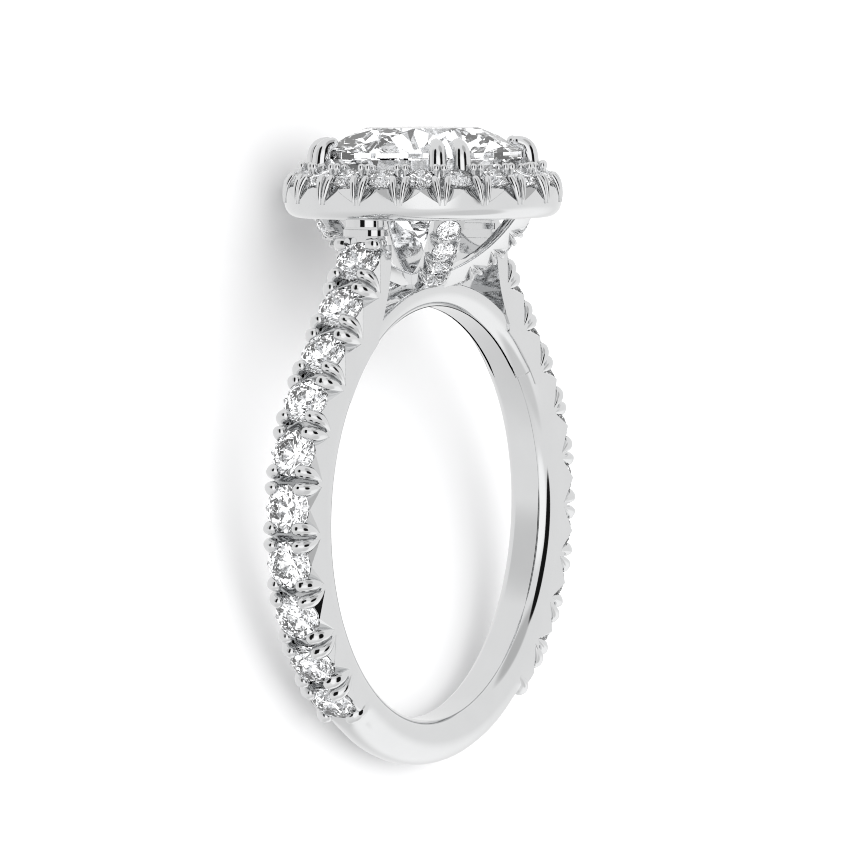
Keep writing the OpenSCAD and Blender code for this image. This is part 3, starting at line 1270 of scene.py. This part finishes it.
@dataclass
class CentreSetting(MetalPart):
    """Eight claws, in four pairs, round the centre stone.

    Args:
        spread: angle of each claw from the middle of its pair.
        stone: cut of the centre stone.
        path: a claw's path, as rows of x, y, z and radius.
        sides: sides round a claw.
        steps: stations between one row of the path and the next.
    """

    spread: float = 6.5
    stone: Brilliant = Brilliant(8.24, table=0.565, crown=28.5, girdle=0.28)
    path: tuple[tuple[float, float, float, float], ...] = (
        (4.55, 0, 12.6, 0.36),
        (4.51, 0, 13.5, 0.375),
        (4.45, 0, 14.35, 0.38),
        (4.4, 0, 14.8, 0.37),
        (4.31, 0, 15.04, 0.34),
        (4.16, 0, 15.19, 0.29),
        (3.96, 0, 15.27, 0.24),
    )
    sides: int = 28
    steps: int = 6

    def build(self) -> bpy.types.Object:
        """Builds the claws and cuts the stone's seat in them.

        Returns:
            The claws as one piece of metal.
        """
        claws = []
        for corner in range(RING.corners):
            for s in (-1, 1):
                turn = Matrix.Rotation(RING.corner_angle(corner, s * self.spread), 4, "Z")
                claws.append(claw_tube(self.path, self.sides, self.steps).placed(turn))
        metal = Casting("centre_claws", joined(claws[::2]))
        metal.add(*claws[1::2])
        metal.remove(self.stone.seat().placed(Matrix.Translation((0, 0, RING.girdle_z))))
        return metal.finish()


@dataclass(frozen=True)
class Mottle:
    """Faint cloudiness of a surface, as a node group that all materials share.

    Args:
        name: name of the node group.
        detail: octaves of the noise.
    """

    name: str = "faint_mottle"
    detail: float = 3.0

    def group(self) -> bpy.types.NodeTree:
        """Finds the node group, or makes it when it is first asked for.

        Returns:
            The group, which gives a colour, a roughness and a height that follow one noise.
        """
        found = bpy.data.node_groups.get(self.name)
        if found:
            return found
        group = bpy.data.node_groups.new(self.name, "ShaderNodeTree")
        for title, kind, way in (
            ("Tone", "NodeSocketColor", "INPUT"),
            ("Shade", "NodeSocketColor", "INPUT"),
            ("Scale", "NodeSocketFloat", "INPUT"),
            ("Smoothest", "NodeSocketFloat", "INPUT"),
            ("Roughest", "NodeSocketFloat", "INPUT"),
            ("Color", "NodeSocketColor", "OUTPUT"),
            ("Roughness", "NodeSocketFloat", "OUTPUT"),
            ("Height", "NodeSocketFloat", "OUTPUT"),
        ):
            group.interface.new_socket(name=title, in_out=way, socket_type=kind)
        nodes, links = group.nodes, group.links
        given, given_out = nodes.new("NodeGroupInput"), nodes.new("NodeGroupOutput")
        coords = nodes.new("ShaderNodeTexCoord")
        cloud = nodes.new("ShaderNodeTexNoise")
        cloud.inputs["Detail"].default_value = self.detail
        links.new(coords.outputs["Object"], cloud.inputs["Vector"])
        links.new(given.outputs["Scale"], cloud.inputs["Scale"])
        mix = nodes.new("ShaderNodeMix")
        mix.data_type = "RGBA"
        links.new(cloud.outputs["Fac"], mix.inputs["Factor"])
        links.new(given.outputs["Tone"], mix.inputs["A"])
        links.new(given.outputs["Shade"], mix.inputs["B"])
        spread = nodes.new("ShaderNodeMapRange")
        links.new(cloud.outputs["Fac"], spread.inputs["Value"])
        links.new(given.outputs["Smoothest"], spread.inputs["To Min"])
        links.new(given.outputs["Roughest"], spread.inputs["To Max"])
        links.new(mix.outputs["Result"], given_out.inputs["Color"])
        links.new(spread.outputs["Result"], given_out.inputs["Roughness"])
        links.new(cloud.outputs["Fac"], given_out.inputs["Height"])
        return group

    def placed(
        self,
        material: bpy.types.Material,
        tone: Sequence[float],
        shade: Sequence[float],
        scale: float,
        roughness: tuple[float, float] = (0.0, 0.0),
    ) -> bpy.types.Node:
        """Puts the group in a material and feeds the colour of its surface.

        Args:
            material: the material.
            tone: colour where the noise is low.
            shade: colour where the noise is high.
            scale: scale of the noise, per metre.
            roughness: roughness where the noise is low and where it is high.

        Returns:
            The group's node, for its other outputs.
        """
        nodes, links = material.node_tree.nodes, material.node_tree.links
        node = nodes.new("ShaderNodeGroup")
        node.node_tree = self.group()
        node.inputs["Tone"].default_value = (*tone, 1)
        node.inputs["Shade"].default_value = (*shade, 1)
        node.inputs["Scale"].default_value = scale
        node.inputs["Smoothest"].default_value = roughness[0]
        node.inputs["Roughest"].default_value = roughness[1]
        links.new(node.outputs["Color"], nodes["Principled BSDF"].inputs["Base Color"])
        return node


@dataclass(frozen=True)
class PolishedGold:
    """White gold, polished bright, with the faint unevenness that a polishing wheel leaves.

    Args:
        name: name of the material.
        tone: reflected colour.
        dulling: share of the tone that the dullest places reflect.
        roughness: lowest roughness.
        wear: how much the fine wheel marks add to the roughness.
        grain: scale of the marks, per metre.
        edge_radius: radius to which the wheel has eased sharp edges, in millimetres.
        edge_samples: rays that look for an edge.
    """

    name: str = "polished_white_gold"
    tone: tuple[float, float, float] = (0.78, 0.785, 0.79)
    dulling: float = 0.95
    roughness: float = 0.035
    wear: float = 0.05
    grain: float = 900.0
    edge_radius: float = 0.02
    edge_samples: int = 6

    def build(self) -> bpy.types.Material:
        """Makes the metal, with mottled roughness and eased edges.

        Returns:
            The material.
        """
        material = bpy.data.materials.new(self.name)
        material.use_nodes = True
        nodes, links = material.node_tree.nodes, material.node_tree.links
        shader = nodes["Principled BSDF"]
        shader.inputs["Metallic"].default_value = 1.0
        shade = [c * self.dulling for c in self.tone]
        span = (self.roughness, self.roughness + self.wear)
        marks = Mottle().placed(material, self.tone, shade, self.grain, span)
        links.new(marks.outputs["Roughness"], shader.inputs["Roughness"])
        soft = nodes.new("ShaderNodeBevel")
        soft.samples = self.edge_samples
        soft.inputs["Radius"].default_value = self.edge_radius * MM
        links.new(soft.outputs["Normal"], shader.inputs["Normal"])
        return material


@dataclass(frozen=True)
class Diamond:
    """Colourless diamond with flat, polished facets.

    Args:
        name: name of the material.
        tint: colour of the stone.
        cloud: colour of its faint clouds.
        grain: scale of the clouds, per metre.
        index: index of refraction.
    """

    name: str = "diamond"
    tint: tuple[float, float, float] = (0.99, 0.995, 1.0)
    cloud: tuple[float, float, float] = (0.97, 0.98, 1.0)
    grain: float = 1200.0
    index: float = 2.417

    def build(self) -> bpy.types.Material:
        """Makes the clear stone, with faint clouds in its colour.

        Returns:
            The material.
        """
        material = bpy.data.materials.new(self.name)
        material.use_nodes = True
        shader = material.node_tree.nodes["Principled BSDF"]
        shader.inputs["Transmission Weight"].default_value = 1.0
        shader.inputs["IOR"].default_value = self.index
        shader.inputs["Roughness"].default_value = 0.0
        Mottle().placed(material, self.tint, self.cloud, self.grain)
        return material


@dataclass(frozen=True)
class PaleCard:
    """Matt off-white card, with the faint cloudiness and tooth of its pulp.

    Args:
        name: name of the material.
        tone: lightest colour.
        shade: darkest colour.
        roughness: lowest and highest roughness.
        grain: scale of the pulp, per metre.
        tooth: height of the card's tooth, in metres.
        relief: strength of the tooth.
    """

    name: str = "pale_card"
    tone: tuple[float, float, float] = (0.93, 0.93, 0.935)
    shade: tuple[float, float, float] = (0.91, 0.91, 0.915)
    roughness: tuple[float, float] = (0.55, 0.7)
    grain: float = 400.0
    tooth: float = 0.00002
    relief: float = 0.2

    def build(self) -> bpy.types.Material:
        """Makes the card, with mottled colour and a fine tooth.

        Returns:
            The material.
        """
        material = bpy.data.materials.new(self.name)
        material.use_nodes = True
        nodes, links = material.node_tree.nodes, material.node_tree.links
        shader = nodes["Principled BSDF"]
        pulp = Mottle().placed(material, self.tone, self.shade, self.grain, self.roughness)
        links.new(pulp.outputs["Roughness"], shader.inputs["Roughness"])
        bump = nodes.new("ShaderNodeBump")
        bump.inputs["Strength"].default_value = self.relief
        bump.inputs["Distance"].default_value = self.tooth
        links.new(pulp.outputs["Height"], bump.inputs["Height"])
        links.new(bump.outputs["Normal"], shader.inputs["Normal"])
        return material


@dataclass(frozen=True)
class Stones:
    """The diamonds, which keep the shapes that the frame gives them.

    Args:
        mount: the only node of the frame that isn't a stone.
    """

    mount: str = "ring_mount"

    def dress(self, finish: bpy.types.Material) -> int:
        """Gives every stone its finish and flat facets.

        Args:
            finish: material of the stones.

        Returns:
            How many stones there are.
        """
        stones = [node for name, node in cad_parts.items() if name != self.mount]
        for stone in stones:
            stone.data.materials.clear()
            stone.data.materials.append(finish)
            stone.data.shade_flat()
        return len(stones)


@dataclass(frozen=True)
class Panel:
    """A round patch of the studio's light tent.

    Args:
        azimuth: direction round the upright ring's Z, from +X towards +Y, in degrees.
        elevation: direction above the upright ring's XY plane, in degrees.
        radius: angle from its centre to where it starts to fade.
        fade: angle over which it fades.
        level: brightness inside it.
    """

    azimuth: float
    elevation: float
    radius: float
    fade: float
    level: float

    def direction(self) -> Vector:
        """Turns the panel's direction with the ring as it is laid down.

        Returns:
            The direction in the frame that the ring lies in.
        """
        a, e = math.radians(self.azimuth), math.radians(self.elevation)
        up = Vector((math.cos(e) * math.cos(a), math.cos(e) * math.sin(a), math.sin(e)))
        return Matrix.Rotation(math.radians(90 - RING.lean), 3, "X") @ up


@dataclass
class Studio:
    """Light tent, floor and camera.

    The camera's angles and distance are those of the upright ring, and it is laid down with it.

    Args:
        level: brightness of the tent.
        panels: patches of the tent as the metal sees them, a later one over an earlier one.
        ground_level: brightness of the tent as the floor and other matt surfaces see it.
        sky_level: brightness of the tent as the camera sees it.
        fleck_scale: scale of the bright and dark flecks of the tent that the stones see.
        fleck_detail: octaves of their noise.
        fleck_edge: noise at which a dark fleck ends and at which a bright one starts.
        fleck_levels: brightness of the dark and of the bright flecks.
        floor_half: half of the floor's side, in metres.
        azimuth: the camera's direction round Z, from -Y towards +X, in degrees.
        elevation: its direction above the XY plane, in degrees.
        roll: its turn about its own axis, in degrees.
        distance: its distance from the middle of the finger hole, in millimetres.
        scale: pixels of the picture for each millimetre at that distance.
        hole_at: pixel at which the middle of the finger hole shows.
        half_picture: pixels from the middle of the picture to its edge.
        sensor: width of the camera's sensor, in millimetres.
        clip: nearest and furthest distance that the camera sees, in metres.
        bounces: how often light is followed from surface to surface.
        stone_bounces: how often it may cross a stone's surface.
        metal_bounces: how often it may be mirrored.
        filter_width: width over which a pixel gathers light, in pixels.
    """

    level: float = 0.9
    panels: tuple[Panel, ...] = (
        Panel(0, -90, 20, 40, 0.85),
        Panel(150, -52, 22, 26, 1.22),
        Panel(-31, 22, 6, 22, 0.78),
        Panel(88, 50, 14, 12, 0.62),
        Panel(88, -50, 14, 14, 0.82),
        Panel(36, 0, 16, 16, 1.3),
        Panel(79, 4, 14, 4, 0.01),
        Panel(79, 19, 14, 4, 0.01),
        Panel(-3, 6, 14, 5, 0.01),
        Panel(-3, 22, 13, 5, 0.01),
        Panel(-4, 36, 12, 5, 0.01),
    )
    ground_level: float = 1.6
    sky_level: float = 0.955
    fleck_scale: float = 11.0
    fleck_detail: float = 2.0
    fleck_edge: tuple[float, float] = (0.4, 0.47)
    fleck_levels: tuple[float, float] = (0.02, 1.6)
    floor_half: float = 0.6
    azimuth: float = 120.69
    elevation: float = 4.22
    roll: float = -0.16
    distance: float = 300.0
    scale: float = 24.26
    hole_at: tuple[float, float] = (423.8, 512.7)
    half_picture: float = 425.0
    sensor: float = 36.0
    clip: tuple[float, float] = (0.01, 10.0)
    bounces: int = 16
    stone_bounces: int = 14
    metal_bounces: int = 8
    filter_width: float = 1.0

    def panel_level(self, tree: bpy.types.NodeTree, place: bpy.types.NodeSocket) -> bpy.types.NodeSocket:
        """Paints the panels on the tent.

        Args:
            tree: node tree of the world.
            place: direction in the world.

        Returns:
            The brightness in that direction.
        """
        nodes, links = tree.nodes, tree.links
        level = None
        for panel in self.panels:
            dot = nodes.new("ShaderNodeVectorMath")
            dot.operation = "DOT_PRODUCT"
            dot.inputs[1].default_value = panel.direction()
            links.new(place, dot.inputs[0])
            mask = nodes.new("ShaderNodeMapRange")
            mask.interpolation_type = "SMOOTHSTEP"
            mask.inputs["From Min"].default_value = math.cos(math.radians(panel.radius + panel.fade))
            mask.inputs["From Max"].default_value = math.cos(math.radians(panel.radius))
            links.new(dot.outputs["Value"], mask.inputs["Value"])
            mix = nodes.new("ShaderNodeMix")
            mix.inputs["A"].default_value = self.level
            if level is not None:
                links.new(level, mix.inputs["A"])
            mix.inputs["B"].default_value = panel.level * self.level
            links.new(mask.outputs["Result"], mix.inputs["Factor"])
            level = mix.outputs["Result"]
        return level

    def fleck_level(self, tree: bpy.types.NodeTree, place: bpy.types.NodeSocket) -> bpy.types.NodeSocket:
        """Scatters bright and dark flecks over the tent.

        Args:
            tree: node tree of the world.
            place: direction in the world.

        Returns:
            The brightness in that direction.
        """
        noise = tree.nodes.new("ShaderNodeTexNoise")
        noise.inputs["Scale"].default_value = self.fleck_scale
        noise.inputs["Detail"].default_value = self.fleck_detail
        tree.links.new(place, noise.inputs["Vector"])
        split = tree.nodes.new("ShaderNodeMapRange")
        split.interpolation_type = "SMOOTHSTEP"
        split.inputs["From Min"].default_value = self.fleck_edge[0]
        split.inputs["From Max"].default_value = self.fleck_edge[1]
        split.inputs["To Min"].default_value = self.fleck_levels[0]
        split.inputs["To Max"].default_value = self.fleck_levels[1]
        tree.links.new(noise.outputs["Fac"], split.inputs["Value"])
        return split.outputs["Result"]

    def tent(self) -> None:
        """Makes the world: a bright tent, which metal, stones, floor and camera each see in their way."""
        world = bpy.data.worlds.new("light_tent")
        bpy.context.scene.world = world
        world.use_nodes = True
        tree = world.node_tree
        back = tree.nodes["Background"]
        place = tree.nodes.new("ShaderNodeTexCoord").outputs["Generated"]
        level = self.panel_level(tree, place)
        path = tree.nodes.new("ShaderNodeLightPath")
        for ray, value in (
            ("Is Transmission Ray", self.fleck_level(tree, place)),
            ("Is Diffuse Ray", self.ground_level),
            ("Is Camera Ray", self.sky_level),
        ):
            seen = tree.nodes.new("ShaderNodeMix")
            tree.links.new(path.outputs[ray], seen.inputs["Factor"])
            tree.links.new(level, seen.inputs["A"])
            if isinstance(value, float):
                seen.inputs["B"].default_value = value
            else:
                tree.links.new(value, seen.inputs["B"])
            level = seen.outputs["Result"]
        tree.links.new(level, back.inputs["Strength"])
        back.inputs["Color"].default_value = (1, 1, 1, 1)

    def floor(self) -> bpy.types.Object:
        """Makes the pale floor that the ring lies on.

        Metal doesn't mirror it and light that has crossed a stone doesn't meet it, so both see the
        whole tent.

        Returns:
            The floor.
        """
        half = self.floor_half
        corners = [(-half, -half, 0), (half, -half, 0), (half, half, 0), (-half, half, 0)]
        mesh = bpy.data.meshes.new("studio_floor")
        mesh.from_pydata(corners, [], [(0, 1, 2, 3)])
        piece = bpy.data.objects.new("studio_floor", mesh)
        bpy.context.scene.collection.objects.link(piece)
        mesh.materials.append(PaleCard().build())
        piece.visible_glossy = False
        piece.visible_transmission = False
        return piece

    def camera(self) -> None:
        """Makes the camera, at the photograph's angle to the ring.

        It looks at the finger hole first, and is then turned until the hole is at its pixel.
        """
        a, e = math.radians(self.azimuth), math.radians(self.elevation)
        back = Vector((math.sin(a) * math.cos(e), -math.cos(a) * math.cos(e), math.sin(e)))
        forward = -back
        right = forward.cross(Vector((0, 0, 1))).normalized()
        up = right.cross(forward)
        r = math.radians(self.roll)
        right, up = right * math.cos(r) + up * math.sin(r), up * math.cos(r) - right * math.sin(r)
        focal = self.scale * self.distance
        half = self.half_picture
        ax, ay = (math.atan((pixel - half) / focal) for pixel in self.hole_at)
        forward, right = (
            forward * math.cos(ax) - right * math.sin(ax),
            right * math.cos(ax) + forward * math.sin(ax),
        )
        forward, up = (
            forward * math.cos(ay) + up * math.sin(ay),
            up * math.cos(ay) - forward * math.sin(ay),
        )
        axes = Matrix((right, up, -forward)).transposed()
        lay = RING.laid_down()
        turn = lay.to_3x3().normalized() @ axes
        data = bpy.data.cameras.new("camera")
        data.sensor_width = self.sensor
        data.lens = focal / (2 * half) * data.sensor_width
        data.clip_start, data.clip_end = self.clip
        camera = bpy.data.objects.new("camera", data)
        camera.matrix_world = Matrix.Translation(lay @ (back * self.distance)) @ turn.to_4x4()
        bpy.context.scene.collection.objects.link(camera)
        bpy.context.scene.camera = camera

    def build(self) -> None:
        """Sets up tent, floor and camera, and lets light cross the stones often enough."""
        self.tent()
        self.floor()
        self.camera()
        scene = bpy.context.scene
        scene.view_settings.view_transform = "Standard"
        scene.cycles.max_bounces = self.bounces
        scene.cycles.transmission_bounces = self.stone_bounces
        scene.cycles.glossy_bounces = self.metal_bounces
        scene.cycles.filter_width = self.filter_width
        scene.cycles.use_denoising = True
        scene.cycles.caustics_reflective = True
        scene.cycles.caustics_refractive = True


def main() -> None:
    """Builds the ring's pieces in order, dresses them and sets up the studio."""
    logging.basicConfig(level=logging.INFO, format="%(name)s: %(message)s")
    gold, diamond = PolishedGold().build(), Diamond().build()
    for part in (Band(), Halo(), Basket(), CentreSetting()):
        piece = part.build()
        part.dress(piece, gold)
        LOG.info("%s: %d faces", piece.name, len(piece.data.polygons))
    LOG.info("%d stones dressed", Stones().dress(diamond))
    Studio().build()


if __name__ == "__main__":
    main()
